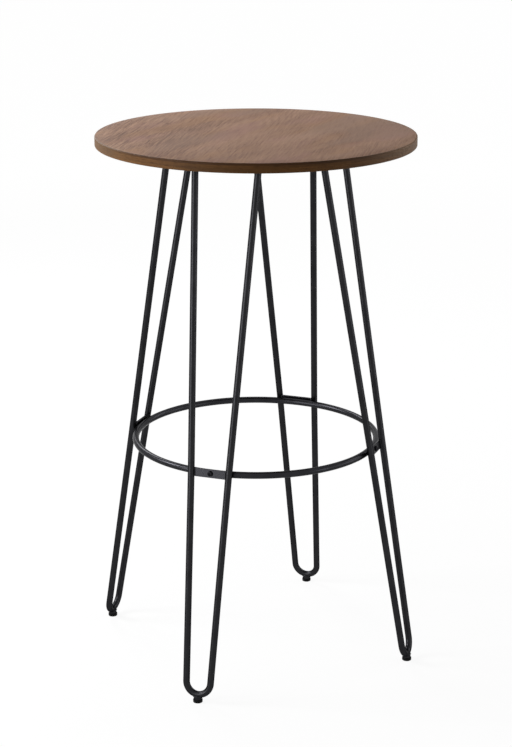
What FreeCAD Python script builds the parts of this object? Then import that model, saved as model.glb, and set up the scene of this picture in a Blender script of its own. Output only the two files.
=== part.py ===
import FreeCAD, Part
import math
import os

import Sketcher
from FreeCAD import Placement, Rotation, Vector

# A round bar table on four bent-rod hairpin legs, with a footrest ring.
# Millimetres and degrees, +Z up, origin on the floor under the middle of the top.
# The front leg points to -Y, the right leg to +X.

# Driving sizes: name and value.
SIZES = (
    # Tabletop
    ("overall_height", 1016),
    ("top_diameter", 600),
    ("top_thickness", 18),
    ("veneer_thickness", 0.6),
    ("lipping_width", 5),
    ("arris_radius", 2),
    ("arris_land", 0.2),
    ("glue_line", 0.1),
    # Hairpin legs: radii are of the plane through both rods, spacings are between rod centres
    ("rod_diameter", 12.7),
    ("leg_radius_at_top", 150),
    ("leg_radius_at_floor", 316),
    ("rod_spacing_at_top", 123.4),
    ("rod_spacing_at_ring", 73.8),
    ("foot_bend_radius", 24),
    ("foot_bend_height", 15),
    # Footrest ring and the tabs that hold it
    ("ring_height", 425),
    ("ring_bar_diameter", 12.7),
    ("ring_seat_clearance", 0.05),
    ("tab_height", 16),
    ("tab_thickness", 4),
    ("tab_inset", 1.6),
    ("weld_gap", 0.1),
    # Socket button screws, in the tabs and in the mounting plates
    ("screw_diameter", 6),
    ("screw_tip_chamfer", 0.8),
    ("screw_head_diameter", 10.5),
    ("screw_head_height", 3.3),
    ("screw_head_rounding", 2.6),
    ("screw_socket_width", 4),
    ("screw_socket_depth", 2),
    ("screw_hole_clearance", 0.6),
    ("thread_clearance", 0.1),
    ("screw_end_space", 1.5),
    ("ring_screw_length", 12),
    ("plate_screw_length", 16),
    # Mounting plates under the top, and the inserts that their screws go into
    ("plate_length", 150),
    ("plate_width", 56),
    ("plate_thickness", 3),
    ("plate_corner_radius", 8),
    ("plate_screw_spacing_along", 76),
    ("plate_screw_spacing_across", 34),
    ("insert_diameter", 9),
    ("insert_length", 13),
    ("insert_fit_clearance", 0.1),
    # Levelling glides
    ("boss_diameter", 15),
    ("boss_top_height", 12),
    ("boss_thread_clearance", 0.2),
    ("glide_seat_clearance", 0.1),
    ("pad_diameter", 18),
    ("pad_height", 6),
    ("pad_bottom_chamfer", 1),
    ("pad_top_chamfer", 0.6),
    ("stud_diameter", 6),
    ("stud_top_height", 18),
    ("stud_tip_chamfer", 0.8),
    ("stud_seat_depth", 4.5),
    ("stud_pocket_clearance", 1.2),
    ("stud_end_space", 1),
    # Length by which cutting shapes run past what they cut
    ("cut_overrun", 12),
)

# Turns about the table's axis, in degrees
LEG_TURNS = {"front": 0, "right": 90, "back": 180, "left": 270}
FULL_TURN = 360

# How closely an edge's size or place has to match for it to be picked
PICK_TOLERANCE = 0.01

# Places worked out from the driving sizes
UNDERSIDE = "(Sizes.overall_height - Sizes.top_thickness)"
PLATE_UNDERSIDE = f"({UNDERSIDE} - Sizes.plate_thickness)"
LEG_TILT = f"atan((Sizes.leg_radius_at_floor - Sizes.leg_radius_at_top) / {UNDERSIDE})"
PLATE_RADIUS = f"(Sizes.leg_radius_at_floor - {PLATE_UNDERSIDE} * tan({LEG_TILT}))"
FOOT_RADIUS = f"(Sizes.leg_radius_at_floor - Sizes.foot_bend_height * tan({LEG_TILT}))"

# The face and backing veneers reach to just short of the rounded arrises.
VENEER_RADIUS = "(Sizes.top_diameter / 2 - Sizes.arris_radius - Sizes.arris_land)"

# The ring's centre line lies behind the rods: behind the tab that it is screwed to.
TAB_FACE_BEHIND = "(Sizes.tab_inset + Sizes.tab_thickness)"
RING_BEHIND = f"({TAB_FACE_BEHIND} + Sizes.ring_seat_clearance + Sizes.ring_bar_diameter / 2)"
RING_RADIUS = (
    f"(Sizes.leg_radius_at_floor"
    f" - ({RING_BEHIND} + Sizes.ring_height * sin({LEG_TILT})) / cos({LEG_TILT}))"
)

# Distances up the slope of a leg, measured from where its plane meets the floor
TOP_ALONG = f"({UNDERSIDE} / cos({LEG_TILT}))"
TAB_ALONG = (
    f"(Sizes.ring_height * cos({LEG_TILT})"
    f" + (Sizes.leg_radius_at_floor - {RING_RADIUS}) * sin({LEG_TILT}))"
)
BEND_LOW_ALONG = f"(Sizes.foot_bend_height / cos({LEG_TILT}))"
BEND_CENTRE_ALONG = f"({BEND_LOW_ALONG} + Sizes.foot_bend_radius)"

# Lean of a rod's lower run, which leaves the bend as a tangent and ends at the tab
BEND_TO_TAB = f"({TAB_ALONG} - {BEND_CENTRE_ALONG})"
HALF_SPACING_AT_RING = "(Sizes.rod_spacing_at_ring / 2)"
LOWER_LEAN = (
    f"(atan({HALF_SPACING_AT_RING} / {BEND_TO_TAB})"
    f" - asin(Sizes.foot_bend_radius / hypot({HALF_SPACING_AT_RING}; {BEND_TO_TAB})))"
)

# A sketch's numbers for the points of a line or arc, and for its own origin and axes
START_INDEX = 1
END_INDEX = 2
CENTRE_INDEX = 3
ORIGIN_INDEX = -1
ACROSS_AXIS_INDEX = -1
UP_AXIS_INDEX = -2

os.makedirs("parts", exist_ok=True)
doc = FreeCAD.newDocument("bar_table")
sheet = doc.addObject("Spreadsheet::Sheet", "Sizes")
for row, (size_name, size) in enumerate(SIZES, start=1):
    sheet.set(f"A{row}", size_name)
    sheet.set(f"B{row}", str(size))
    sheet.setAlias(f"B{row}", size_name)
doc.recompute()

sub_parts = []


def number(expression):
    """The value of an expression in the sheet's names."""
    result = sheet.evalExpression(expression)
    return getattr(result, "Value", result)


def finished(piece, label):
    """Give a sub-part its name and add it to those that are written out."""
    piece.Label = label
    sub_parts.append(piece)
    return piece


def bind(piece, **expressions):
    """Bind properties of a piece to expressions in the sheet's names."""
    for name, expression in expressions.items():
        piece.setExpression(name, expression)


def moved(across="0", inward="0", up="0"):
    """A shift by three expressions."""
    return Placement(Vector(number(across), number(inward), number(up)), Rotation())


def leg_turn(leg):
    """The turn about the table's axis that takes the front leg to this leg."""
    return Placement(Vector(), Rotation(Vector(0, 0, 1), LEG_TURNS[leg]))


def leg_plane(leg):
    """A leg's tilted frame: X across the rods, Y inward, Z up the slope from the floor."""
    tilt = Placement(Vector(), Rotation(Vector(1, 0, 0), -number(LEG_TILT)))
    return leg_turn(leg) * moved(inward="-Sizes.leg_radius_at_floor") * tilt


# Sketch helpers

def origin_feature(body, role):
    """One of the body's own origin planes or axes."""
    return next(item for item in body.Origin.OriginFeatures if item.Role == role)


def sketch_on(body, plane, name, lift=None):
    """A sketch on an origin plane of its body, raised by an expression if one is given."""
    sketch = body.newObject("Sketcher::SketchObject", name)
    sketch.AttachmentSupport = [(origin_feature(body, plane), "")]
    sketch.MapMode = "FlatFace"
    if lift:
        sketch.setExpression("AttachmentOffset.Base.z", lift)
    return sketch


def dimension(sketch, expression, kind, *where):
    """Add one dimension and bind it to an expression."""
    index = sketch.addConstraint(Sketcher.Constraint(kind, *where, number(expression)))
    sketch.setExpression(f"Constraints[{index}]", expression)


def pin(sketch, geometry, point, across, up):
    """Hold a point of the sketch at its distances across and up from the origin."""
    distances = (
        ("DistanceX", UP_AXIS_INDEX, across),
        ("DistanceY", ACROSS_AXIS_INDEX, up),
    )
    for kind, axis, expression in distances:
        if expression == "0":
            sketch.addConstraint(Sketcher.Constraint("PointOnObject", geometry, point, axis))
        else:
            dimension(sketch, expression, kind, ORIGIN_INDEX, START_INDEX, geometry, point)


def draw_outline(sketch, points):
    """A closed outline of straight lines through (across, up) points."""
    places = [Vector(number(across), number(up), 0) for across, up in points]
    following = list(range(1, len(points))) + [0]
    for index, after in enumerate(following):
        sketch.addGeometry(Part.LineSegment(places[index], places[after]), False)
    for index, after in enumerate(following):
        sketch.addConstraint(Sketcher.Constraint("Coincident", index, END_INDEX, after, START_INDEX))
    for index, (across, up) in enumerate(points):
        pin(sketch, index, START_INDEX, across, up)


def draw_circle(sketch, across, up, diameter):
    """A circle with its centre at (across, up)."""
    middle = Vector(number(across), number(up), 0)
    circle = Part.Circle(middle, Vector(0, 0, 1), number(diameter) / 2)
    index = sketch.addGeometry(circle, False)
    pin(sketch, index, CENTRE_INDEX, across, up)
    dimension(sketch, diameter, "Diameter", index)


# Feature helpers

def new_body(name, placement=None):
    """An empty body at its place."""
    body = doc.addObject("PartDesign::Body", name)
    if placement:
        body.Placement = placement
    return body


def revolved(body, points):
    """A full turn of an outline, drawn on the XZ plane, about the body's Z axis."""
    sketch = sketch_on(body, "XZ_Plane", "profile")
    draw_outline(sketch, points)
    feature = body.newObject("PartDesign::Revolution", "turned")
    feature.Profile = sketch
    feature.ReferenceAxis = (sketch, ["V_Axis"])
    feature.Angle = FULL_TURN
    doc.recompute()
    return feature


def padded(body, sketch, thickness, reverse=False):
    """A sketch raised to a thickness."""
    feature = body.newObject("PartDesign::Pad", "pad")
    feature.Profile = sketch
    feature.Reversed = reverse
    feature.setExpression("Length", thickness)
    doc.recompute()
    return feature


def pocketed(body, sketch, depth, reverse=False):
    """A sketch sunk to a depth, with a check that it does remove material."""
    before = body.Shape.Volume
    feature = body.newObject("PartDesign::Pocket", "pocket")
    feature.Profile = sketch
    feature.Reversed = reverse
    feature.setExpression("Length", depth)
    doc.recompute()
    if body.Shape.Volume >= before:
        raise RuntimeError(f"{body.Label}: a pocket removes nothing")
    return feature


def filleted(body, feature, radius, wanted):
    """A fillet on those edges of a feature that the test picks."""
    edges = [f"Edge{index}" for index, edge in enumerate(feature.Shape.Edges, start=1) if wanted(edge)]
    fillet = body.newObject("PartDesign::Fillet", "rounding")
    fillet.Base = (feature, edges)
    fillet.setExpression("Radius", radius)
    doc.recompute()
    return fillet


def on_every_leg(body, feature):
    """Repeat a feature, made for the front leg, at the other legs."""
    pattern = body.newObject("PartDesign::PolarPattern", "each_leg")
    pattern.Originals = [feature]
    pattern.Axis = (origin_feature(body, "Z_Axis"), [""])
    pattern.Angle = FULL_TURN
    pattern.Occurrences = len(LEG_TURNS)
    body.Tip = pattern
    doc.recompute()
    return pattern


def cylinder(name, diameter, height, placement):
    """A round rod along its own Z axis."""
    piece = doc.addObject("Part::Cylinder", name)
    bind(piece, Radius=f"{diameter} / 2", Height=height)
    piece.Placement = placement
    return piece


def cut(name, base, tool):
    """What is left of a piece after a cut."""
    piece = doc.addObject("Part::Cut", name)
    piece.Base = base
    piece.Tool = tool
    doc.recompute()
    return piece


def plate_screw_corners():
    """The four screw places of a mounting plate, across and inward from its middle."""
    along = "Sizes.plate_screw_spacing_along / 2"
    across = "Sizes.plate_screw_spacing_across / 2"
    return [(f"{x}{along}", f"{y}{across}") for x in ("", "-") for y in ("", "-")]


def is_circle_of(edge, radius):
    """Whether an edge is a full circle of this radius."""
    if not edge.Closed or edge.Curve.TypeId != "Part::GeomCircle":
        return False
    return abs(edge.Curve.Radius - radius) < PICK_TOLERANCE


def is_upright(edge):
    """Whether an edge stands straight up from the body's XY plane."""
    box = edge.BoundBox
    return box.XLength < PICK_TOLERANCE and box.YLength < PICK_TOLERANCE


# Tabletop

def draw_plate_screw_circles(sketch, diameter):
    """Circles at the front leg's four screw places, on a sketch that lies level."""
    for across, inward in plate_screw_corners():
        draw_circle(sketch, across, f"{inward} - {PLATE_RADIUS}", diameter)


def make_tabletop_core():
    """The board: a disc with blind holes for the inserts."""
    core_height = "Sizes.top_thickness - 2 * Sizes.veneer_thickness"
    body = new_body("core", moved(up=f"{UNDERSIDE} + Sizes.veneer_thickness"))
    outline = sketch_on(body, "XY_Plane", "disc")
    draw_circle(outline, "0", "0", "Sizes.top_diameter - 2 * Sizes.lipping_width - 2 * Sizes.glue_line")
    padded(body, outline, core_height)
    holes = sketch_on(body, "XY_Plane", "insert_holes")
    draw_plate_screw_circles(holes, "Sizes.insert_diameter + 2 * Sizes.insert_fit_clearance")
    depth = "Sizes.insert_length + Sizes.screw_end_space - Sizes.veneer_thickness"
    on_every_leg(body, pocketed(body, holes, depth, reverse=True))
    finished(body, "tabletop_core")


def make_veneers():
    """The face veneer, and the backing veneer with holes for the inserts."""
    veneer_diameter = f"2 * {VENEER_RADIUS}"
    face = new_body("face", moved(up="Sizes.overall_height - Sizes.veneer_thickness"))
    outline = sketch_on(face, "XY_Plane", "disc")
    draw_circle(outline, "0", "0", veneer_diameter)
    padded(face, outline, "Sizes.veneer_thickness")
    finished(face, "top_face_veneer")

    backing = new_body("backing", moved(up=UNDERSIDE))
    outline = sketch_on(backing, "XY_Plane", "disc")
    draw_circle(outline, "0", "0", veneer_diameter)
    padded(backing, outline, "Sizes.veneer_thickness")
    holes = sketch_on(backing, "XY_Plane", "insert_holes")
    draw_plate_screw_circles(holes, "Sizes.insert_diameter + 2 * Sizes.insert_fit_clearance")
    on_every_leg(backing, pocketed(backing, holes, "Sizes.veneer_thickness", reverse=True))
    finished(backing, "underside_veneer")


def make_edge_lipping():
    """The solid edge, rebated for both veneers and rounded at both arrises."""
    body = new_body("lipping", moved(up=UNDERSIDE))
    outer = "Sizes.top_diameter / 2"
    rebate = VENEER_RADIUS
    inner = f"{outer} - Sizes.lipping_width"
    lower = "Sizes.veneer_thickness"
    upper = "Sizes.top_thickness - Sizes.veneer_thickness"
    points = (
        (inner, lower), (rebate, lower), (rebate, "0"), (outer, "0"),
        (outer, "Sizes.top_thickness"), (rebate, "Sizes.top_thickness"), (rebate, upper), (inner, upper),
    )
    ring = revolved(body, points)
    outer_radius = number(outer)
    filleted(body, ring, "Sizes.arris_radius", lambda edge: is_circle_of(edge, outer_radius))
    finished(body, "edge_lipping")


# Legs

def make_hairpin(leg):
    """One bent rod, before it is trimmed: half of its path swept, then mirrored."""
    body = new_body(f"hairpin_{leg}", leg_plane(leg))
    path = sketch_on(body, "XZ_Plane", "half_path")
    middle = Vector(0, number(BEND_CENTRE_ALONG), 0)
    circle = Part.Circle(middle, Vector(0, 0, 1), number("Sizes.foot_bend_radius"))
    arc = Part.ArcOfCircle(circle, -math.pi / 2, -math.radians(number(LOWER_LEAN)))
    waist = Vector(number(HALF_SPACING_AT_RING), number(TAB_ALONG), 0)
    top = Vector(number("Sizes.rod_spacing_at_top / 2"), number(TOP_ALONG), 0)
    bend = path.addGeometry(arc, False)
    lower = path.addGeometry(Part.LineSegment(arc.EndPoint, waist), False)
    upper = path.addGeometry(Part.LineSegment(waist, top), False)
    path.addConstraint(Sketcher.Constraint("PointOnObject", bend, START_INDEX, UP_AXIS_INDEX))
    pin(path, bend, CENTRE_INDEX, "0", BEND_CENTRE_ALONG)
    dimension(path, "Sizes.foot_bend_radius", "Radius", bend)
    path.addConstraint(Sketcher.Constraint("Tangent", bend, END_INDEX, lower, START_INDEX))
    pin(path, lower, END_INDEX, HALF_SPACING_AT_RING, TAB_ALONG)
    path.addConstraint(Sketcher.Constraint("Coincident", lower, END_INDEX, upper, START_INDEX))
    pin(path, upper, END_INDEX, "Sizes.rod_spacing_at_top / 2", TOP_ALONG)

    section = sketch_on(body, "YZ_Plane", "section")
    draw_circle(section, "0", BEND_LOW_ALONG, "Sizes.rod_diameter")
    pipe = body.newObject("PartDesign::AdditivePipe", "half_rod")
    pipe.Profile = section
    pipe.Spine = (path, ["Edge1", "Edge2", "Edge3"])
    pipe.Transition = "Right corner"
    doc.recompute()
    mirror = body.newObject("PartDesign::Mirrored", "whole_rod")
    mirror.Originals = [pipe]
    mirror.MirrorPlane = (origin_feature(body, "YZ_Plane"), [""])
    body.Tip = mirror
    doc.recompute()
    return body


def make_leg_rod(leg, hairpin):
    """The bent rod, cut level under its plate and drilled from below for the glide's stud."""
    trim = doc.addObject("Part::Box", f"trim_{leg}")
    length = "Sizes.rod_spacing_at_top + 2 * Sizes.cut_overrun + Sizes.rod_diameter"
    width = "2 * Sizes.cut_overrun + Sizes.rod_diameter"
    bind(trim, Length=length, Width=width, Height="Sizes.plate_thickness + Sizes.cut_overrun")
    corner = moved(f"-({length}) / 2", f"-({width}) / 2 - {PLATE_RADIUS}", PLATE_UNDERSIDE)
    trim.Placement = leg_turn(leg) * corner
    trimmed = cut(f"trimmed_{leg}", hairpin, trim)
    pocket = cylinder(
        f"stud_pocket_{leg}",
        "(Sizes.stud_diameter + Sizes.stud_pocket_clearance)",
        "Sizes.stud_top_height + Sizes.stud_end_space",
        leg_turn(leg) * moved(inward=f"-{FOOT_RADIUS}"),
    )
    finished(cut(f"rod_{leg}", trimmed, pocket), f"leg_rod_{leg}")


def make_mounting_plate(leg):
    """The flat plate that both rods are welded under, with four screw holes."""
    place = leg_turn(leg) * moved(inward=f"-{PLATE_RADIUS}", up=PLATE_UNDERSIDE)
    body = new_body(f"plate_{leg}", place)
    half_length = "Sizes.plate_length / 2"
    half_width = "Sizes.plate_width / 2"
    outline = sketch_on(body, "XY_Plane", "outline")
    corners = (
        (half_length, half_width), (f"-{half_length}", half_width),
        (f"-{half_length}", f"-{half_width}"), (half_length, f"-{half_width}"),
    )
    draw_outline(outline, corners)
    pad = padded(body, outline, "Sizes.plate_thickness")
    filleted(body, pad, "Sizes.plate_corner_radius", is_upright)
    holes = sketch_on(body, "XY_Plane", "screw_holes")
    for across, inward in plate_screw_corners():
        draw_circle(holes, across, inward, "Sizes.screw_diameter + Sizes.screw_hole_clearance")
    pocketed(body, holes, "Sizes.plate_thickness", reverse=True)
    finished(body, f"mounting_plate_{leg}")


# Fasteners

def make_screw(name, length, placement=None):
    """A socket button screw: its head's bearing face at Z 0, its shank downwards."""
    body = new_body(name, placement)
    radius = "Sizes.screw_diameter / 2"
    head_radius = "Sizes.screw_head_diameter / 2"
    head_height = "Sizes.screw_head_height"
    points = (
        ("0", f"-{length}"), (f"{radius} - Sizes.screw_tip_chamfer", f"-{length}"),
        (radius, f"-{length} + Sizes.screw_tip_chamfer"), (radius, "0"),
        (head_radius, "0"), (head_radius, head_height), ("0", head_height),
    )
    turned = revolved(body, points)
    top_place = number(head_height)
    rim_radius = number(head_radius)
    filleted(
        body, turned, "Sizes.screw_head_rounding",
        lambda edge: is_circle_of(edge, rim_radius) and edge.CenterOfMass.z > top_place / 2,
    )
    socket = sketch_on(body, "XY_Plane", "socket", lift=head_height)
    half = "Sizes.screw_socket_width / 2"
    point = "Sizes.screw_socket_width / sqrt(3)"
    side = "Sizes.screw_socket_width / (2 * sqrt(3))"
    draw_outline(socket, (
        (point, "0"), (side, half), (f"-{side}", half),
        (f"-{point}", "0"), (f"-{side}", f"-{half}"), (side, f"-{half}"),
    ))
    pocketed(body, socket, "Sizes.screw_socket_depth")
    return body


def make_insert():
    """A threaded insert for the core, its mouth at Z 0 and its body upwards."""
    body = new_body("insert")
    bore = "Sizes.screw_diameter / 2 + Sizes.thread_clearance"
    outer = "Sizes.insert_diameter / 2"
    length = "Sizes.insert_length"
    revolved(body, ((bore, "0"), (outer, "0"), (outer, length), (bore, length)))
    return body


def make_group(label, leg, master, height, flip):
    """Copies of one fastener at the four screw places of a leg's plate."""
    solids = []
    for across, inward in plate_screw_corners():
        place = leg_turn(leg) * moved(across, f"{inward} - {PLATE_RADIUS}", height) * flip
        solid = master.Shape.copy()
        solid.Placement = place
        solids.append(solid)
    group = doc.addObject("Part::Feature", label)
    group.Shape = Part.makeCompound(solids)
    finished(group, label)


# Footrest ring, its tabs and screws

def tab_face(leg, behind):
    """A place on the line through a tab's screw, this far behind the rods, Z pointing outwards."""
    outwards = Placement(Vector(), Rotation(Vector(1, 0, 0), 90))
    return leg_plane(leg) * moved(inward=behind, up=TAB_ALONG) * outwards


def make_ring_tab(leg):
    """The flat tab between the two rods, with its screw hole."""
    body = new_body(f"tab_{leg}", tab_face(leg, TAB_FACE_BEHIND))
    half_height = "Sizes.tab_height / 2"
    reach = "sqrt((Sizes.rod_diameter / 2) ^ 2 - Sizes.tab_inset ^ 2)"
    narrowing = f"{half_height} * tan({LOWER_LEAN})"
    half_length = f"({HALF_SPACING_AT_RING} - {narrowing} - {reach} - Sizes.weld_gap)"
    outline = sketch_on(body, "XY_Plane", "outline")
    corners = (
        (half_length, half_height), (f"-{half_length}", half_height),
        (f"-{half_length}", f"-{half_height}"), (half_length, f"-{half_height}"),
    )
    draw_outline(outline, corners)
    padded(body, outline, "Sizes.tab_thickness")
    hole = sketch_on(body, "XY_Plane", "screw_hole")
    draw_circle(hole, "0", "0", "Sizes.screw_diameter + Sizes.screw_hole_clearance")
    pocketed(body, hole, "Sizes.tab_thickness", reverse=True)
    finished(body, f"ring_tab_{leg}")


def make_footrest_ring():
    """The ring, with a blind threaded hole behind each tab."""
    ring = doc.addObject("Part::Torus", "ring_bar")
    bind(ring, Radius1=RING_RADIUS, Radius2="Sizes.ring_bar_diameter / 2")
    ring.Placement = moved(up="Sizes.ring_height")
    doc.recompute()
    depth = "(Sizes.ring_screw_length - Sizes.tab_thickness + Sizes.screw_end_space)"
    for leg in LEG_TURNS:
        place = tab_face(leg, f"({TAB_FACE_BEHIND} + {depth})")
        thread = "(Sizes.screw_diameter + 2 * Sizes.thread_clearance)"
        ring = cut(f"ring_drilled_{leg}", ring, cylinder(f"ring_hole_{leg}", thread, depth, place))
    finished(ring, "footrest_ring")


# Levelling glides

def make_glide_boss(leg, hairpin):
    """The collar welded under the bend: shaped round the rod and threaded for the stud."""
    bottom = "(Sizes.pad_height + Sizes.glide_seat_clearance)"
    height = f"Sizes.boss_top_height - {bottom}"
    place = leg_turn(leg) * moved(inward=f"-{FOOT_RADIUS}", up=bottom)
    blank = cylinder(f"boss_blank_{leg}", "Sizes.boss_diameter", height, place)
    thread = "(Sizes.stud_diameter + Sizes.boss_thread_clearance)"
    bore = cylinder(f"boss_bore_{leg}", thread, height, place)
    shaped = cut(f"boss_saddle_{leg}", blank, hairpin)
    finished(cut(f"boss_{leg}", shaped, bore), f"glide_boss_{leg}")


def make_glide(leg):
    """The black foot pad and the stud moulded into it."""
    floor_place = leg_turn(leg) * moved(inward=f"-{FOOT_RADIUS}")
    pad = new_body(f"pad_{leg}", floor_place)
    radius = "Sizes.pad_diameter / 2"
    stud_radius = "Sizes.stud_diameter / 2"
    seat = "Sizes.pad_height - Sizes.stud_seat_depth"
    low = "Sizes.pad_bottom_chamfer"
    high = "Sizes.pad_top_chamfer"
    revolved(pad, (
        ("0", "0"), (f"{radius} - {low}", "0"), (radius, low), (radius, f"Sizes.pad_height - {high}"),
        (f"{radius} - {high}", "Sizes.pad_height"), (stud_radius, "Sizes.pad_height"),
        (stud_radius, seat), ("0", seat),
    ))
    finished(pad, f"glide_pad_{leg}")

    stud = new_body(f"stud_{leg}", floor_place)
    tip = "Sizes.stud_tip_chamfer"
    top = "Sizes.stud_top_height"
    revolved(stud, (
        ("0", seat), (stud_radius, seat), (stud_radius, f"{top} - {tip}"),
        (f"{stud_radius} - {tip}", top), ("0", top),
    ))
    finished(stud, f"glide_stud_{leg}")


make_tabletop_core()
make_veneers()
make_edge_lipping()
plate_screw = make_screw("plate_screw", "Sizes.plate_screw_length")
insert = make_insert()
upside_down = Placement(Vector(), Rotation(Vector(1, 0, 0), 180))
for leg in LEG_TURNS:
    hairpin = make_hairpin(leg)
    make_leg_rod(leg, hairpin)
    make_mounting_plate(leg)
    make_group(f"plate_screws_{leg}", leg, plate_screw, PLATE_UNDERSIDE, upside_down)
    make_group(f"threaded_inserts_{leg}", leg, insert, UNDERSIDE, Placement())
    make_ring_tab(leg)
    screw_place = tab_face(leg, "Sizes.tab_inset")
    ring_screw = make_screw(f"ring_screw_{leg}", "Sizes.ring_screw_length", screw_place)
    finished(ring_screw, f"ring_screw_{leg}")
    make_glide_boss(leg, hairpin)
    make_glide(leg)
make_footrest_ring()

doc.recompute()
for item in doc.Objects:
    if "Invalid" in item.State or "Error" in item.State:
        raise RuntimeError(f"{item.Name} did not recompute: {item.getStatusString()}")
for piece in sub_parts:
    if piece.Shape.isNull() or not piece.Shape.isValid():
        raise RuntimeError(f"{piece.Label} has no valid shape")
for piece in sub_parts:
    piece.Shape.exportStep(f"parts/{piece.Label}.step")
    print(piece.Label, len(piece.Shape.Solids), round(piece.Shape.Volume))
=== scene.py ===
import math
from typing import NamedTuple

import bpy
from mathutils import Matrix, Vector, noise


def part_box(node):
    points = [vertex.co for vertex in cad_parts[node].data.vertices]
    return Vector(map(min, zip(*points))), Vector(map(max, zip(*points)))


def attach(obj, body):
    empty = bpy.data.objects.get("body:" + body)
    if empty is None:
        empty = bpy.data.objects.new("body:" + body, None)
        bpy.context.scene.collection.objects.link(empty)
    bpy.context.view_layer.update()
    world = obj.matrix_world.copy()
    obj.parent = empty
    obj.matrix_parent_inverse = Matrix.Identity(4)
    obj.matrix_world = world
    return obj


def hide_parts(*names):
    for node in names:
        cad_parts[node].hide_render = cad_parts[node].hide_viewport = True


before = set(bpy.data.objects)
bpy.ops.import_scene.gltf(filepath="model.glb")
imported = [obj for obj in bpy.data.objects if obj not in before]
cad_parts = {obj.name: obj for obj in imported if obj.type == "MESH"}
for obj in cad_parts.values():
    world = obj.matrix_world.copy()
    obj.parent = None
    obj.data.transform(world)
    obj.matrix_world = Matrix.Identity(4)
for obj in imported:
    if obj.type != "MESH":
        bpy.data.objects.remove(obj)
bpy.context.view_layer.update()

# A round bar table: stained wood top, four black hairpin legs, a footrest ring and levelling glides.
# Metres, +Z up, origin on the floor under the middle of the top; the front leg points to -Y.

MM = 0.001
FULL_TURN = 360

# Turns about the table's axis, in degrees
LEG_TURNS = {"front": 0, "right": 90, "back": 180, "left": 270}

# Sizes that the frame gives
TOP_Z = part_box("top_face_veneer")[1].z
UNDERSIDE_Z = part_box("underside_veneer")[0].z
FACE_VENEER_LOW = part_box("top_face_veneer")[0].z
BACKING_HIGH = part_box("underside_veneer")[1].z
TOP_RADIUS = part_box("edge_lipping")[1].x
VENEER_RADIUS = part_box("top_face_veneer")[1].x
CORE_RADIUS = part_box("tabletop_core")[1].x
PLATE_LOW, PLATE_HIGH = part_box("mounting_plate_front")
TAB_LOW, TAB_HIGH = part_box("ring_tab_front")
PAD_LOW, PAD_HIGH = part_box("glide_pad_front")
STUD_LOW, STUD_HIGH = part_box("glide_stud_front")
BOSS_LOW, BOSS_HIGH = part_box("glide_boss_front")

# Sizes of the tabletop's edge
GLUE_LINE = 0.1 * MM
LIPPING_INNER_RADIUS = CORE_RADIUS + GLUE_LINE
ARRIS_RADIUS = 2 * MM
VENEER_EDGE_RADIUS = 0.12 * MM

# Sizes of the bent rod and the ring; spacings are between the centres of a leg's two rods
ROD_RADIUS = 6.35 * MM
ROD_SPACING_AT_TOP = 123.4 * MM
ROD_SPACING_AT_RING = 73.8 * MM
FOOT_BEND_RADIUS = 24 * MM
FOOT_BEND_HEIGHT = 15 * MM
RING_BAR_RADIUS = 6.35 * MM
RING_HEIGHT = 425 * MM

# Sizes of the tabs and the mounting plates
TAB_HEIGHT = 16 * MM
TAB_THICKNESS = 4 * MM
TAB_INSET = 1.6 * MM
TAB_CORNER_RADIUS = 1.2 * MM
SCREW_HOLE_RADIUS = 3.3 * MM
PLATE_SCREW_SPACING = Vector((76, 34, 0)) * MM
PLATE_CORNER_RADIUS = 8 * MM
FLAT_STEEL_EDGE_RADIUS = 0.5 * MM
INSERT_HOLE_RADIUS = 4.6 * MM

# Places worked out from them
RING_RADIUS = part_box("footrest_ring")[1].x - RING_BAR_RADIUS
FOOT_RADIUS = -(STUD_LOW.y + STUD_HIGH.y) / 2
PLATE_RADIUS = -(PLATE_LOW.y + PLATE_HIGH.y) / 2
LEG_TILT = math.atan2(FOOT_RADIUS - PLATE_RADIUS, PLATE_LOW.z - FOOT_BEND_HEIGHT)
FLOOR_RADIUS = FOOT_RADIUS + FOOT_BEND_HEIGHT * math.tan(LEG_TILT)

# A leg's tilted frame: X across the rods, Y inward, Z up the slope from the floor
LEG_FRAME = Matrix.Translation((0, -FLOOR_RADIUS, 0)) @ Matrix.Rotation(-LEG_TILT, 4, "X")
TAB_ALONG = (LEG_FRAME.inverted() @ ((TAB_LOW + TAB_HIGH) / 2)).z
TOP_ALONG = UNDERSIDE_Z / math.cos(LEG_TILT)
BEND_CENTRE_ALONG = FOOT_BEND_HEIGHT / math.cos(LEG_TILT) + FOOT_BEND_RADIUS


# Colours

def srgb(red, green, blue):
    """A colour written as 0 to 255 in sRGB, as the shader wants it; the numbers are the standard's."""
    shares = [value / 255 for value in (red, green, blue)]
    linear = [share / 12.92 if share <= 0.04045 else ((share + 0.055) / 1.055) ** 2.4 for share in shares]
    return (*linear, 1)


def grey(value):
    """A grey of 0 to 1, as the shader wants it."""
    return (value, value, value, 1)


WHITE = grey(1)


# Node graphs

class Pattern(NamedTuple):
    """A smooth noise: features a metre each way, octaves of detail, their roughness, and a shift."""

    features: tuple
    detail: float = 2
    roughness: float = 0.5
    shift: tuple = (0, 0, 0)


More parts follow.
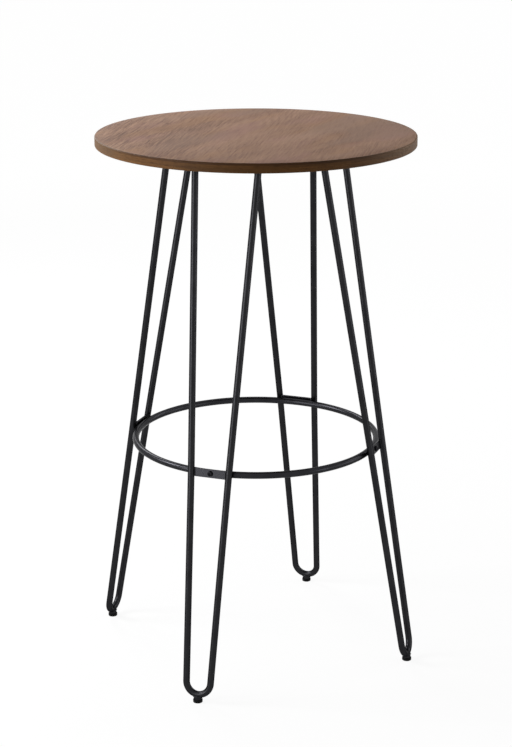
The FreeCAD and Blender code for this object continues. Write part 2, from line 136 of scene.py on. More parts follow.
class Graph:
    """The node tree of a material or world, with one short call for each kind of node."""

    def __init__(self, owner):
        owner.use_nodes = True
        self.owner = owner
        self.tree = owner.node_tree
        self.tree.nodes.clear()

    def node(self, kind, sockets=None, **settings):
        """A node with its settings, its sockets linked to other sockets or set to values."""
        node = self.tree.nodes.new(kind)
        for setting, value in settings.items():
            setattr(node, setting, value)
        for socket, value in (sockets or {}).items():
            if isinstance(value, bpy.types.NodeSocket):
                self.tree.links.new(value, node.inputs[socket])
            else:
                node.inputs[socket].default_value = value
        return node

    def math(self, operation, first, second=0.0, third=0.0):
        """One arithmetic step."""
        sockets = {0: first, 1: second, 2: third}
        return self.node("ShaderNodeMath", sockets, operation=operation).outputs[0]

    def scaled(self, value, factor, base):
        """A value times a factor, plus a base."""
        return self.math("MULTIPLY_ADD", value, factor, base)

    def swung(self, pattern, swing, base):
        """A base moved up and down by a pattern about 0.5, this much over the pattern's whole range."""
        return self.scaled(self.math("SUBTRACT", pattern, 0.5), swing, base)

    def hypot(self, first, second):
        """The length of a vector with these two sides."""
        first_square = self.math("MULTIPLY", first, first)
        second_square = self.math("MULTIPLY", second, second)
        return self.math("SQRT", self.math("ADD", first_square, second_square))

    def place(self):
        """The object's own coordinates, in metres."""
        return self.node("ShaderNodeTexCoord").outputs["Object"]

    def split(self, vector):
        """The three parts of a vector."""
        outputs = self.node("ShaderNodeSeparateXYZ", {0: vector}).outputs
        return outputs[0], outputs[1], outputs[2]

    def join(self, x, y, z):
        """A vector of three parts."""
        return self.node("ShaderNodeCombineXYZ", {0: x, 1: y, 2: z}).outputs[0]

    def mapped(self, vector, turn=0.0, scale=(1, 1, 1), shift=(0, 0, 0)):
        """A vector scaled, turned about Z and shifted."""
        sockets = {"Vector": vector, "Rotation": (0, 0, turn), "Scale": scale, "Location": shift}
        return self.node("ShaderNodeMapping", sockets).outputs[0]

    def noise(self, vector, pattern, along_shift=0.0):
        """A pattern's noise, about 0.5, read this much further along X."""
        x, y, z = pattern.shift
        place = self.mapped(vector, scale=pattern.features, shift=(x + along_shift, y, z))
        sockets = {"Vector": place, "Scale": 1, "Detail": pattern.detail, "Roughness": pattern.roughness}
        return self.node("ShaderNodeTexNoise", sockets).outputs["Fac"]

    def spread(self, value, low, high, to_low=0.0, to_high=1.0, interpolation="SMOOTHSTEP"):
        """A value's range low to high brought to another range, and clamped to it."""
        sockets = {"Value": value, "From Min": low, "From Max": high, "To Min": to_low, "To Max": to_high}
        node = self.node("ShaderNodeMapRange", sockets, interpolation_type=interpolation)
        return node.outputs["Result"]

    def ramp(self, value, stops):
        """A colour ramp through (place, colour) stops."""
        node = self.node("ShaderNodeValToRGB", {0: value})
        elements = node.color_ramp.elements
        while len(elements) < len(stops):
            elements.new(0.5)
        for element, (position, colour) in zip(elements, stops):
            element.position = position
            element.color = colour
        return node.outputs["Color"]

    def mix(self, share, first, second):
        """A mix of two colours, whose sockets are numbers 6 and 7."""
        sockets = {"Factor": share, 6: first, 7: second}
        return self.node("ShaderNodeMix", sockets, data_type="RGBA").outputs[2]

    def bump(self, height, depth, strength):
        """A normal from a height of 0 to 1, this many metres deep."""
        sockets = {"Height": height, "Distance": depth, "Strength": strength}
        return self.node("ShaderNodeBump", sockets).outputs["Normal"]

    def finish(self, **sockets):
        """End a material in one shader, its sockets named with underscores, and return the material."""
        named = {name.replace("_", " "): value for name, value in sockets.items()}
        shader = self.node("ShaderNodeBsdfPrincipled", named)
        self.node("ShaderNodeOutputMaterial", {"Surface": shader.outputs["BSDF"]})
        return self.owner


def new_graph(name):
    """The empty graph of a new material."""
    return Graph(bpy.data.materials.new(name))


# Mesh helpers

SMOOTH_ANGLE = 35
HOLE_SIDES = 48
CORNER_STEPS = 8
EDGE_STEPS = 2


def smoothed(mesh, sharp_angle=SMOOTH_ANGLE):
    """Shade a mesh smooth, but for edges sharper than an angle in degrees."""
    mesh.shade_smooth()
    mesh.set_sharp_from_angle(angle=math.radians(sharp_angle))
    return mesh


def closed_mesh(name, rings, join_ends=False, sharp_angle=SMOOTH_ANGLE):
    """A skin over rings of points, capped at both ends or joined from last to first."""
    sides = len(rings[0])
    points = [point for ring in rings for point in ring]
    faces = []
    for row in range(len(rings) if join_ends else len(rings) - 1):
        low = row * sides
        high = (row + 1) % len(rings) * sides
        for side in range(sides):
            after = (side + 1) % sides
            faces.append((low + side, low + after, high + after, high + side))
    if not join_ends:
        last = (len(rings) - 1) * sides
        faces.append(tuple(reversed(range(sides))))
        faces.append(tuple(range(last, last + sides)))
    mesh = bpy.data.meshes.new(name)
    mesh.from_pydata(points, [], faces)
    mesh.validate()
    return smoothed(mesh, sharp_angle)


def lathe_mesh(name, profile, sides, join_ends=False, centre=(0, 0)):
    """A profile of (radius, height) points turned about a vertical axis."""
    rings = []
    for radius, height in profile:
        ring = []
        for side in range(sides):
            angle = math.tau * side / sides
            ring.append((centre[0] + radius * math.cos(angle), centre[1] + radius * math.sin(angle), height))
        rings.append(ring)
    return closed_mesh(name, rings, join_ends)


def arc(centre, radius, start, end, steps):
    """Points of an arc, its angles in degrees."""
    points = []
    for step in range(steps + 1):
        angle = math.radians(start + (end - start) * step / steps)
        points.append((centre[0] + radius * math.cos(angle), centre[1] + radius * math.sin(angle)))
    return points


def circle(centre, radius, sides):
    """Points of a full circle, the first not repeated."""
    return arc(centre, radius, 0, FULL_TURN - FULL_TURN / sides, sides - 1)


def flat_plate(name, outline, holes, low, high, edge_radius):
    """A plate between two heights: a closed outline with round holes, its edges rounded."""
    curve = bpy.data.curves.new(name, "CURVE")
    curve.dimensions = "2D"
    curve.fill_mode = "BOTH"
    curve.extrude = (high - low) / 2 - edge_radius
    curve.bevel_depth = edge_radius
    curve.bevel_resolution = EDGE_STEPS
    curve.offset = -edge_radius
    circles = [circle(centre, radius, HOLE_SIDES) for centre, radius in holes]
    for loop in [outline, *circles]:
        spline = curve.splines.new("POLY")
        spline.points.add(len(loop) - 1)
        for point, (x, y) in zip(spline.points, loop):
            point.co = (x, y, 0, 1)
        spline.use_cyclic_u = True
    holder = bpy.data.objects.new(name, curve)
    mesh = bpy.data.meshes.new_from_object(holder)
    mesh.name = name
    bpy.data.objects.remove(holder)
    bpy.data.curves.remove(curve)
    mesh.transform(Matrix.Translation((0, 0, (low + high) / 2)))
    return smoothed(mesh)


def rounded_rectangle(half_x, half_y, radius, steps=CORNER_STEPS):
    """The outline of a rectangle with round corners, about the origin."""
    corners = ((1, 1, 0), (-1, 1, 90), (-1, -1, 180), (1, -1, 270))
    points = []
    for side_x, side_y, start in corners:
        centre = (side_x * (half_x - radius), side_y * (half_y - radius))
        points += arc(centre, radius, start, start + 90, steps)
    return points


def tube_rings(path, radii, sides, closed=False, up=Vector((0, 0, 1))):
    """Rings round a path, kept from twisting, with one radius for each of its points."""
    rings = []
    count = len(path)
    normal = None
    for index, (point, radius) in enumerate(zip(path, radii)):
        before = path[index - 1] if closed or index > 0 else point
        after = path[(index + 1) % count] if closed or index < count - 1 else point
        tangent = (after - before).normalized()
        if normal is None:
            normal = tangent.cross(up).normalized()
        normal = (normal - tangent * normal.dot(tangent)).normalized()
        second = tangent.cross(normal)
        ring = []
        for side in range(sides):
            angle = math.tau * side / sides
            ring.append(point + radius * (math.cos(angle) * normal + math.sin(angle) * second))
        rings.append(ring)
    return rings


def level_directions(count):
    """Evenly turned level unit vectors, starting with +X."""
    angles = [math.tau * step / count for step in range(count)]
    return [Vector((math.cos(angle), math.sin(angle), 0)) for angle in angles]


def add_piece(name, mesh, body, material, replaced=(), turn=0):
    """Put a mesh in the scene, turned about the table's axis, on its body."""
    mesh.transform(Matrix.Rotation(math.radians(turn), 4, "Z"))
    mesh.materials.clear()
    mesh.materials.append(material)
    piece = bpy.data.objects.new(name, mesh)
    bpy.context.scene.collection.objects.link(piece)
    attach(piece, body)
    if replaced:
        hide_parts(*replaced)


# Wood of the face and backing veneers

# Turn of the fibres from +X, and how far the broad bands of colour slant off the fibres
GRAIN_TURN = math.radians(100)
BAND_TURN = math.radians(21)

# Leaves of veneer lie side by side, and their growth rings mirror each other. Across the grain: a leaf's
# width, how far the joints are shifted, and the heart's place in a leaf. The fine noise of each leaf is
# read this far from that of the last one.
LEAF_WIDTH = 0.17
LEAF_JOINT_SHIFT = 0.055
HEART_PLACE = 0.12
LEAF_NOISE_STEP = 3.7

# Growth rings are cut at a slope, so they close round a tip this far back along the grain.
RING_SPACING = 0.0075
TIP_PLACE = 0.52
CUT_SLOPE = 0.085

# How far the growth rings wander and jitter across the grain
WANDER = Pattern((3.5, 9, 9))
WANDER_REACH = 0.05
JITTER = Pattern((22, 150, 150), shift=(0, 3, 0))
JITTER_REACH = 0.004

# Early wood through one growth ring, from its edge to the next
EARLY_STOPS = ((0.0, grey(1)), (0.12, grey(0.75)), (0.5, grey(0.12)), (0.88, grey(0)), (1.0, grey(1)))

# Noise patterns: along, across and through the leaf
FIBRE = Pattern((12, 280, 280), detail=4, roughness=0.6)
STREAKS = Pattern((8, 620, 620), detail=3, roughness=0.6, shift=(4, 1, 0))
CLOUDS = Pattern((3.2, 14, 14), detail=4, roughness=0.55, shift=(5, 0, 0))
DASHES = Pattern((11, 130, 130), detail=3, shift=(2, 9, 0))
FLECKS = Pattern((55, 1150, 1150), detail=1, shift=(0, 7, 0))

# Ranges of noise at which dashes and pores fade in, and the pores' share from late to early wood
DASH_RANGE = (0.5, 0.75)
PORE_RANGE = (0.56, 0.7)
PORES_IN_EARLY_WOOD = (0.02, 0.55, 0.25, 1.0)

# One half of the top has a plain figure. From the middle it grows to its full share of 1 this far into
# the other half.
MARKED_REACH = 0.22
PLAIN_SHARE = 0.3

# The tone runs from 0, the darkest, to 1. Shares by which the patterns move it:
MEAN_TONE = 0.54
PLAIN_FIBRE_SHARE = 0.15
MARKED_FIBRE_SHARE = 2.0
STREAK_SHARE = 0.7
CLOUD_SHARE = 1.2
EARLY_SHARE = 0.08
MEAN_EARLY = 0.3
MARK_SHARE = 0.8
DASH_IN_MARK_SHARE = 0.6

# Shares of the relief's depth
PLAIN_FIBRE_RELIEF = 0.1
MARKED_FIBRE_RELIEF = 0.45
PORE_RELIEF = 0.8
EARLY_RELIEF = 0.12

# Colours from dark to pale tone: the stain's colours, each lifted paler as painted sheen of the finish
FACE_STOPS = (
    (0.0, srgb(118, 92, 80)), (0.35, srgb(139, 109, 92)),
    (0.52, srgb(151, 120, 101)), (1.0, srgb(180, 145, 122)),
)
BACKING_STOPS = ((0.0, srgb(74, 54, 40)), (0.5, srgb(112, 84, 64)), (1.0, srgb(140, 110, 88)))

# Tints that drift over the face in bands: pattern, range of noise, share of the tint, and the tint,
# which is ochre, then rosy, then greyed
FACE_TINTS = (
    (Pattern((4, 15, 15), shift=(9, 2, 0)), (0.5, 0.68), 0.42, srgb(165, 128, 97)),
    (Pattern((4, 13, 13), shift=(3, 8, 0)), (0.5, 0.68), 0.5, srgb(159, 123, 112)),
    (Pattern((3, 10, 10), detail=1, shift=(6, 5, 0)), (0.5, 0.66), 0.45, srgb(148, 123, 108)),
)

# The backing is sliced further along the log and is plainer
BACKING_SHIFT = 1.3
BACKING_CONTRAST = 0.7


def growth_rings(graph, grain, along_shift):
    """Early wood of mirrored leaves, 1 at the edge of each growth ring and 0 in its late wood."""
    along, across, _ = graph.split(grain)
    inside = graph.math("PINGPONG", graph.math("ADD", across, LEAF_JOINT_SHIFT), LEAF_WIDTH)
    from_heart = graph.math("SUBTRACT", inside, HEART_PLACE)
    from_heart = graph.scaled(graph.noise(grain, WANDER, along_shift), WANDER_REACH, from_heart)
    from_heart = graph.scaled(graph.noise(grain, JITTER, along_shift), JITTER_REACH, from_heart)
    depth = graph.math("MULTIPLY", graph.math("ADD", along, TIP_PLACE + along_shift), CUT_SLOPE)
    ring = graph.math("DIVIDE", graph.hypot(from_heart, depth), RING_SPACING)
    return graph.ramp(graph.math("FRACT", ring), EARLY_STOPS)


def figured_wood(graph, grain, along_shift=0.0, contrast=1.0):
    """Tone, pores and relief of sliced wood. X of the grain vector runs along the fibres."""
    along, across, _ = graph.split(grain)
    leaf = graph.math("FLOOR", graph.math("DIVIDE", graph.math("ADD", across, LEAF_JOINT_SHIFT), LEAF_WIDTH))
    in_leaf = graph.join(along, across, graph.math("MULTIPLY", leaf, LEAF_NOISE_STEP))
    marked = graph.spread(across, 0.0, MARKED_REACH, PLAIN_SHARE, 1.0)
    early = growth_rings(graph, grain, along_shift)
    flecks = graph.spread(graph.noise(in_leaf, FLECKS), *PORE_RANGE)
    pores = graph.math("MULTIPLY", flecks, graph.spread(early, *PORES_IN_EARLY_WOOD))
    dashes = graph.spread(graph.noise(in_leaf, DASHES), *DASH_RANGE)
    marks = graph.math("MULTIPLY", graph.scaled(dashes, DASH_IN_MARK_SHARE, pores), marked)

    fibre = graph.noise(in_leaf, FIBRE)
    fibre_share = graph.scaled(marked, MARKED_FIBRE_SHARE * contrast, PLAIN_FIBRE_SHARE * contrast)
    clouds = graph.noise(graph.mapped(grain, turn=BAND_TURN), CLOUDS, along_shift)
    tone = graph.swung(fibre, fibre_share, MEAN_TONE)
    tone = graph.swung(graph.noise(in_leaf, STREAKS), STREAK_SHARE * contrast, tone)
    tone = graph.swung(clouds, CLOUD_SHARE * contrast, tone)
    tone = graph.scaled(graph.math("SUBTRACT", MEAN_EARLY, early), EARLY_SHARE * contrast, tone)
    tone = graph.scaled(marks, -MARK_SHARE * contrast, tone)

    fibre_relief = graph.scaled(marked, MARKED_FIBRE_RELIEF, PLAIN_FIBRE_RELIEF)
    relief = graph.math("MULTIPLY", fibre, fibre_relief)
    relief = graph.scaled(pores, -PORE_RELIEF, relief)
    relief = graph.scaled(early, -EARLY_RELIEF, relief)
    return tone, pores, relief


def face_veneer_material():
    """Stained, open-grained veneer with a dull finish."""
    graph = new_graph("face_veneer")
    grain = graph.mapped(graph.place(), turn=-GRAIN_TURN)
    tone, pores, relief = figured_wood(graph, grain)
    # The ramp's colours hold painted sheen as well as the stain: they are lifted paler in place of the
    # finish's reflection.
    colour = graph.ramp(tone, FACE_STOPS)
    bands = graph.mapped(grain, turn=BAND_TURN)
    for pattern, tint_range, share, tint in FACE_TINTS:
        tinted = graph.spread(graph.noise(bands, pattern), *tint_range, 0.0, share)
        colour = graph.mix(tinted, colour, tint)
    return graph.finish(
        Base_Color=colour,
        Roughness=graph.scaled(pores, factor=0.2, base=0.6),
        Normal=graph.bump(relief, depth=0.16 * MM, strength=0.7),
        Specular_IOR_Level=0.04,
    )


def backing_veneer_material():
    """The plainer veneer under the top, stained but not finished."""
    graph = new_graph("backing_veneer")
    grain = graph.mapped(graph.place(), turn=-GRAIN_TURN)
    tone, pores, relief = figured_wood(graph, grain, BACKING_SHIFT, BACKING_CONTRAST)
    return graph.finish(
        Base_Color=graph.ramp(tone, BACKING_STOPS),
        Roughness=graph.scaled(pores, factor=0.15, base=0.68),
        Normal=graph.bump(relief, depth=0.12 * MM, strength=0.7),
    )


# Wood of the lipping

# Noise patterns: round the rim, up and through it
RIM_FIBRE = Pattern((9, 520, 520), detail=4, roughness=0.6)
RIM_BANDS = Pattern((3.2, 120, 60), shift=(4, 0, 0))
RIM_CLOUDS = Pattern((6, 30, 30), shift=(1, 6, 0))
RIM_FLECKS = Pattern((60, 1300, 1300), detail=1, shift=(2, 3, 0))
RIM_PORE_RANGE = (0.58, 0.7)

# Shares by which the patterns move the tone, and the fibre's share of the relief
RIM_MEAN_TONE = 0.5
RIM_FIBRE_SHARE = 0.6
RIM_BAND_SHARE = 0.7
RIM_CLOUD_SHARE = 0.6
RIM_PORE_SHARE = 0.3
RIM_FIBRE_RELIEF = 0.3

# A stretch of painted light, which is paler, and a stretch of painted shade, which is darker, on the rim:
# turns from the front leg towards the right leg, and the range of the cosine from there in which each of
# them grows to its full strength
PAINTED_LIGHT_TURN = math.radians(-22)
PAINTED_LIGHT_RANGE = (0.93, 1.0)
PAINTED_LIGHT_SHARE = 0.2
PAINTED_SHADE_TURN = math.radians(17)
PAINTED_SHADE_RANGE = (0.45, 0.85)

# Away from the painted shade at the front, the rim is mixed towards a pale grey-brown as painted sheen, and
# within the painted shade the upper arris is darker than the rest.
PAINTED_SHEEN_SHARE = 0.3
DARK_ARRIS_SHARE = 0.7
DARK_ARRIS_LOW = TOP_Z - 5.2 * MM
DARK_ARRIS_HIGH = TOP_Z - 3.2 * MM

# The butt joint's dark line at the back: half its width as a turn in radians, at its edge and where it
# reaches its full strength
JOINT_HALF_TURNS = (0.0012, 0.0006)
JOINT_SHARE = 0.7

RIM_STOPS = (
    (0.0, srgb(52, 31, 13)), (0.4, srgb(80, 53, 27)), (0.6, srgb(100, 67, 34)), (1.0, srgb(140, 98, 56)),
)
# The pale grey-brown of the painted sheen on the rim
PAINTED_SHEEN_COLOUR = srgb(118, 96, 74)
DARK_ARRIS = srgb(50, 28, 14)
JOINT_LINE = srgb(40, 27, 18)


def near_turn(graph, angle, turn, cosine_range, share):
    """A share that grows towards one turn round the rim."""
    cosine = graph.math("COSINE", graph.math("SUBTRACT", angle, turn))
    return graph.spread(cosine, *cosine_range, 0.0, share)


def edge_wood_material():
    """The lipping, whose grain runs round the rim and meets in a butt joint at the back, with painted light,
    painted shade and painted sheen on its side.
    """
    graph = new_graph("edge_wood")
    x, y, z = graph.split(graph.place())
    angle = graph.math("ARCTAN2", x, graph.math("MULTIPLY", y, -1))
    grain = graph.join(graph.math("MULTIPLY", angle, TOP_RADIUS), z, graph.hypot(x, y))
    fibre = graph.noise(grain, RIM_FIBRE)
    pores = graph.spread(graph.noise(grain, RIM_FLECKS), *RIM_PORE_RANGE)

    tone = graph.swung(fibre, RIM_FIBRE_SHARE, RIM_MEAN_TONE)
    tone = graph.swung(graph.noise(grain, RIM_BANDS), RIM_BAND_SHARE, tone)
    tone = graph.swung(graph.noise(grain, RIM_CLOUDS), RIM_CLOUD_SHARE, tone)
    tone = graph.scaled(pores, -RIM_PORE_SHARE, tone)
    # Painted light: the rim's tone is raised on a stretch to the left of the front leg.
    painted_light = near_turn(graph, angle, PAINTED_LIGHT_TURN, PAINTED_LIGHT_RANGE, PAINTED_LIGHT_SHARE)
    colour = graph.ramp(graph.math("ADD", tone, painted_light), RIM_STOPS)

    # dark marks the stretch of painted shade at the front, which stays darker: the painted sheen is kept off
    # it, and the band under its upper arris is darkened.
    dark = near_turn(graph, angle, PAINTED_SHADE_TURN, PAINTED_SHADE_RANGE, share=1.0)
    # Painted sheen: the rim is mixed towards a pale grey-brown everywhere but in the painted shade at its
    # front.
    colour = graph.mix(graph.scaled(dark, -PAINTED_SHEEN_SHARE, PAINTED_SHEEN_SHARE), colour, PAINTED_SHEEN_COLOUR)
    arris = graph.spread(z, DARK_ARRIS_LOW, DARK_ARRIS_HIGH, 0.0, DARK_ARRIS_SHARE)
    colour = graph.mix(graph.math("MULTIPLY", arris, dark), colour, DARK_ARRIS)
    joint_edges = [math.pi - half_turn for half_turn in JOINT_HALF_TURNS]
    joint = graph.spread(graph.math("ABSOLUTE", angle), *joint_edges, 0.0, JOINT_SHARE)
    colour = graph.mix(joint, colour, JOINT_LINE)

    relief = graph.scaled(pores, -PORE_RELIEF, graph.math("MULTIPLY", fibre, RIM_FIBRE_RELIEF))
    return graph.finish(
        Base_Color=colour,
        Roughness=graph.scaled(pores, factor=0.2, base=0.56),
        Normal=graph.bump(relief, depth=0.1 * MM, strength=0.6),
        Specular_IOR_Level=0.12,
    )


# Board, metal and plastic

# Ranges of noise between a surface's dark and its light
PATCH_RANGE = (0.3, 0.7)
MOTTLE_RANGE = (0.35, 0.65)

# Colours of the glue between the chips, and of dull and bright chips
BOARD_STOPS = ((0.3, srgb(150, 118, 82)), (0.5, srgb(186, 155, 114)), (0.72, srgb(212, 187, 148)))

# Two copies of the same black paint, the ring and tabs shining a little more than the rods and plates, and
# the ring and tabs'
# paler colour a painted highlight: dark, light, range of roughness, and gloss at the edges
PLAIN_PAINT = (srgb(37, 37, 39), srgb(43, 43, 45), (0.26, 0.33), 0.4)
PAINTED_HIGHLIGHT_PAINT = (srgb(40, 40, 43), srgb(46, 46, 49), (0.23, 0.3), 0.6)


def fine_pattern(features, detail=2):
    """A noise pattern with this many features a metre every way."""
    return Pattern((features, features, features), detail)


def two_tone(graph, pattern, tone_range, dark, light):
    """A noise, and a colour that it takes from dark to light."""
    mottle = graph.noise(graph.place(), pattern)
    return mottle, graph.ramp(mottle, ((tone_range[0], dark), (tone_range[1], light)))


def varied(graph, mottle, low, high):
    """A roughness that follows a noise between two values."""
    return graph.spread(mottle, *PATCH_RANGE, low, high, interpolation="LINEAR")


def board_material():
    """The chipboard core, hidden inside the top."""
    graph = new_graph("board")
    chips = graph.noise(graph.place(), Pattern((260, 260, 600), detail=3, roughness=0.65))
    return graph.finish(
        Base_Color=graph.ramp(chips, BOARD_STOPS),
        Roughness=0.85,
        Normal=graph.bump(chips, depth=0.3 * MM, strength=0.5),
    )


def black_frame_material(name, dark, light, roughness, edge_gloss):
    """Black powder coat with a soft gloss and a very fine orange peel."""
    graph = new_graph(name)
    peel = graph.noise(graph.place(), fine_pattern(features=1500))
    patches, colour = two_tone(graph, fine_pattern(features=40), PATCH_RANGE, dark, light)
    return graph.finish(
        Base_Color=colour,
        Roughness=varied(graph, patches, *roughness),
        Normal=graph.bump(peel, depth=0.04 * MM, strength=0.5),
        Metallic=0.9,
        Specular_Tint=grey(edge_gloss),
        Specular_IOR_Level=0.1,
    )


def black_screw_material():
    """Black oxide on turned steel, with a faint mottle."""
    graph = new_graph("black_screws")
    pattern = fine_pattern(features=700, detail=3)
    dark, light = srgb(18, 18, 20), srgb(30, 30, 33)
    mottle, colour = two_tone(graph, pattern, MOTTLE_RANGE, dark, light)
    return graph.finish(
        Base_Color=colour,
        Roughness=varied(graph, mottle, low=0.28, high=0.4),
        Normal=graph.bump(mottle, depth=0.02 * MM, strength=0.4),
        Metallic=0.9,
        Specular_Tint=grey(0.6),
        Specular_IOR_Level=0.1,
    )


def plated_steel_material(name, dark, light):
    """Plated steel with a slight mottle."""
    graph = new_graph(name)
    mottle, colour = two_tone(graph, fine_pattern(features=320, detail=3), MOTTLE_RANGE, dark, light)
    roughness = varied(graph, mottle, low=0.28, high=0.42)
    return graph.finish(Base_Color=colour, Roughness=roughness, Metallic=1.0)


def glide_plastic_material():
    """Moulded black nylon with a fine spark-eroded texture."""
    graph = new_graph("glide_plastic")
    texture = graph.noise(graph.place(), fine_pattern(features=2600))
    dark, light = srgb(9, 9, 10), srgb(15, 15, 16)
    _, colour = two_tone(graph, fine_pattern(features=150), PATCH_RANGE, dark, light)
    return graph.finish(
        Base_Color=colour,
        Roughness=0.62,
        Normal=graph.bump(texture, depth=0.03 * MM, strength=0.5),
        Specular_IOR_Level=0.08,
    )


MATERIALS = {
    "face_veneer": face_veneer_material(),
    "backing_veneer": backing_veneer_material(),
    "edge_wood": edge_wood_material(),
    "board": board_material(),
    "black_frame": black_frame_material("black_frame", *PLAIN_PAINT),
    # The ring and tabs' copy of the paint: glossier, and with a paler colour that is painted highlight
    "painted_highlight_frame": black_frame_material("painted_highlight_frame", *PAINTED_HIGHLIGHT_PAINT),
    "black_screws": black_screw_material(),
    "insert_steel": plated_steel_material("insert_steel", srgb(160, 140, 95), srgb(190, 170, 120)),
    "stud_steel": plated_steel_material("stud_steel", srgb(150, 152, 158), srgb(178, 180, 184)),
    "glide_plastic": glide_plastic_material(),
}


# Tabletop

TOP_SIDES = 384
VENEER_EDGE_STEPS = 3
ARRIS_STEPS = 8

# Circles of points across the face veneer's underside and top, as shares of its radius
FACE_UNDER_SHARES = (0.02, 0.5, 1.0)
FACE_TOP_SHARES = (0.9, 0.7, 0.5, 0.3, 0.1, 0.02)


def face_veneer():
    """The face: a thin disc, its upper edge eased by a hair."""
    reach = VENEER_RADIUS
    eased = reach - VENEER_EDGE_RADIUS
    profile = [(reach * share, FACE_VENEER_LOW) for share in FACE_UNDER_SHARES]
    profile += arc((eased, TOP_Z - VENEER_EDGE_RADIUS), VENEER_EDGE_RADIUS, 0, 90, VENEER_EDGE_STEPS)
    profile += [(reach * share, TOP_Z) for share in FACE_TOP_SHARES]
    mesh = lathe_mesh("face_veneer_disc", profile, TOP_SIDES)
    add_piece("face_veneer_disc", mesh, "table", MATERIALS["face_veneer"], ["top_face_veneer"])


def plate_screw_places(turn):
    """The four screw places of a leg's plate."""
    spin = Matrix.Rotation(math.radians(turn), 3, "Z")
    places = []
    for side_x in (1, -1):
        for side_y in (1, -1):
            offset = Vector((side_x * PLATE_SCREW_SPACING.x / 2, side_y * PLATE_SCREW_SPACING.y / 2, 0))
            places.append(spin @ (offset - Vector((0, PLATE_RADIUS, 0))))
    return places


def backing_veneer():
    """The backing: a thin disc with a hole at each insert."""
    outline = circle((0, 0), VENEER_RADIUS, TOP_SIDES)
    holes = [
        ((place.x, place.y), INSERT_HOLE_RADIUS)
        for turn in LEG_TURNS.values() for place in plate_screw_places(turn)
    ]
    mesh = flat_plate("backing_veneer_disc", outline, holes, UNDERSIDE_Z, BACKING_HIGH, VENEER_EDGE_RADIUS)
    material = MATERIALS["backing_veneer"]
    add_piece("backing_veneer_disc", mesh, "table", material, ["underside_veneer"])


def edge_lipping():
    """The solid rim, rebated for both veneers, both arrises rounded."""
    round_radius = TOP_RADIUS - ARRIS_RADIUS
    profile = [
        (LIPPING_INNER_RADIUS, FACE_VENEER_LOW), (LIPPING_INNER_RADIUS, BACKING_HIGH),
        (VENEER_RADIUS, BACKING_HIGH), (VENEER_RADIUS, UNDERSIDE_Z),
    ]
    profile += arc((round_radius, UNDERSIDE_Z + ARRIS_RADIUS), ARRIS_RADIUS, -90, 0, ARRIS_STEPS)
    profile += arc((round_radius, TOP_Z - ARRIS_RADIUS), ARRIS_RADIUS, 0, 90, ARRIS_STEPS)
    profile += [(VENEER_RADIUS, TOP_Z), (VENEER_RADIUS, FACE_VENEER_LOW)]
    mesh = lathe_mesh("edge_lipping_ring", profile, TOP_SIDES, join_ends=True)
    add_piece("edge_lipping_ring", mesh, "table", MATERIALS["edge_wood"], ["edge_lipping"])


# Legs

ROD_SIDES = 40
BEND_STEPS = 28
RUN_STEP = 30 * MM
TAB_CORNER_STEPS = 4

# The rods bend a little at the ring, with this large a radius
WAIST_RADIUS = 3.0
WAIST_STEPS = 4


def along_line(start, end):
    """Evenly spaced points of a straight run, without its start."""
    steps = max(1, round((end - start).length / RUN_STEP))
    return [start.lerp(end, step / steps) for step in range(1, steps + 1)]


def half_rod_path():
    """Half of the rod's centre line in the leg's frame, from the bottom of the bend to the top."""
    half_at_ring = ROD_SPACING_AT_RING / 2
    to_tab = TAB_ALONG - BEND_CENTRE_ALONG
    lean = math.atan(half_at_ring / to_tab) - math.asin(FOOT_BEND_RADIUS / math.hypot(half_at_ring, to_tab))
    waist = Vector((half_at_ring, 0, TAB_ALONG))
    top = Vector((ROD_SPACING_AT_TOP / 2, 0, TOP_ALONG))
    points = [
        Vector((x, 0, z))
        for x, z in arc((0, BEND_CENTRE_ALONG), FOOT_BEND_RADIUS, -90, -math.degrees(lean), BEND_STEPS)
    ]
    lower = (waist - points[-1]).normalized()
    upper = (top - waist).normalized()
    tangent_length = WAIST_RADIUS * math.tan(lower.angle(upper) / 2)
    before = waist - lower * tangent_length
    after = waist + upper * tangent_length
    points += along_line(points[-1], before)
    for step in range(1, WAIST_STEPS + 1):
        share = step / WAIST_STEPS
        points.append(before.lerp(waist, share).lerp(waist.lerp(after, share), share))
    points += along_line(after, top)
    return points


def cut_level(points, direction, height):
    """Points slid along a direction until they lie at one height."""
    return [point + direction * ((height - point.z) / direction.z) for point in points]


def mirrored(point):
    """A point of the front leg on its other rod."""
    return Vector((-point.x, point.y, point.z))


HALF_ROD = [LEG_FRAME @ point for point in half_rod_path()]
ROD_TOP_DIRECTION = (HALF_ROD[-1] - HALF_ROD[-2]).normalized()


def leg_rod(leg, turn):
    """The bent rod, cut level against its mounting plate."""
    half = [point for point in HALF_ROD[:-1] if point.z < PLATE_LOW.z - ROD_RADIUS]
    half += cut_level([HALF_ROD[-1]], ROD_TOP_DIRECTION, PLATE_LOW.z)
    path = [mirrored(point) for point in reversed(half[1:])] + half
    across_plane = LEG_FRAME.to_3x3() @ Vector((0, 1, 0))
    rings = tube_rings(path, [ROD_RADIUS] * len(path), ROD_SIDES, up=across_plane)
    rings[0] = cut_level(rings[0], mirrored(ROD_TOP_DIRECTION), PLATE_LOW.z)
    rings[-1] = cut_level(rings[-1], ROD_TOP_DIRECTION, PLATE_LOW.z)
    mesh = closed_mesh(f"hairpin_rod_{leg}", rings)
    material = MATERIALS["black_frame"]
    add_piece(f"hairpin_rod_{leg}", mesh, "table", material, [f"leg_rod_{leg}"], turn)


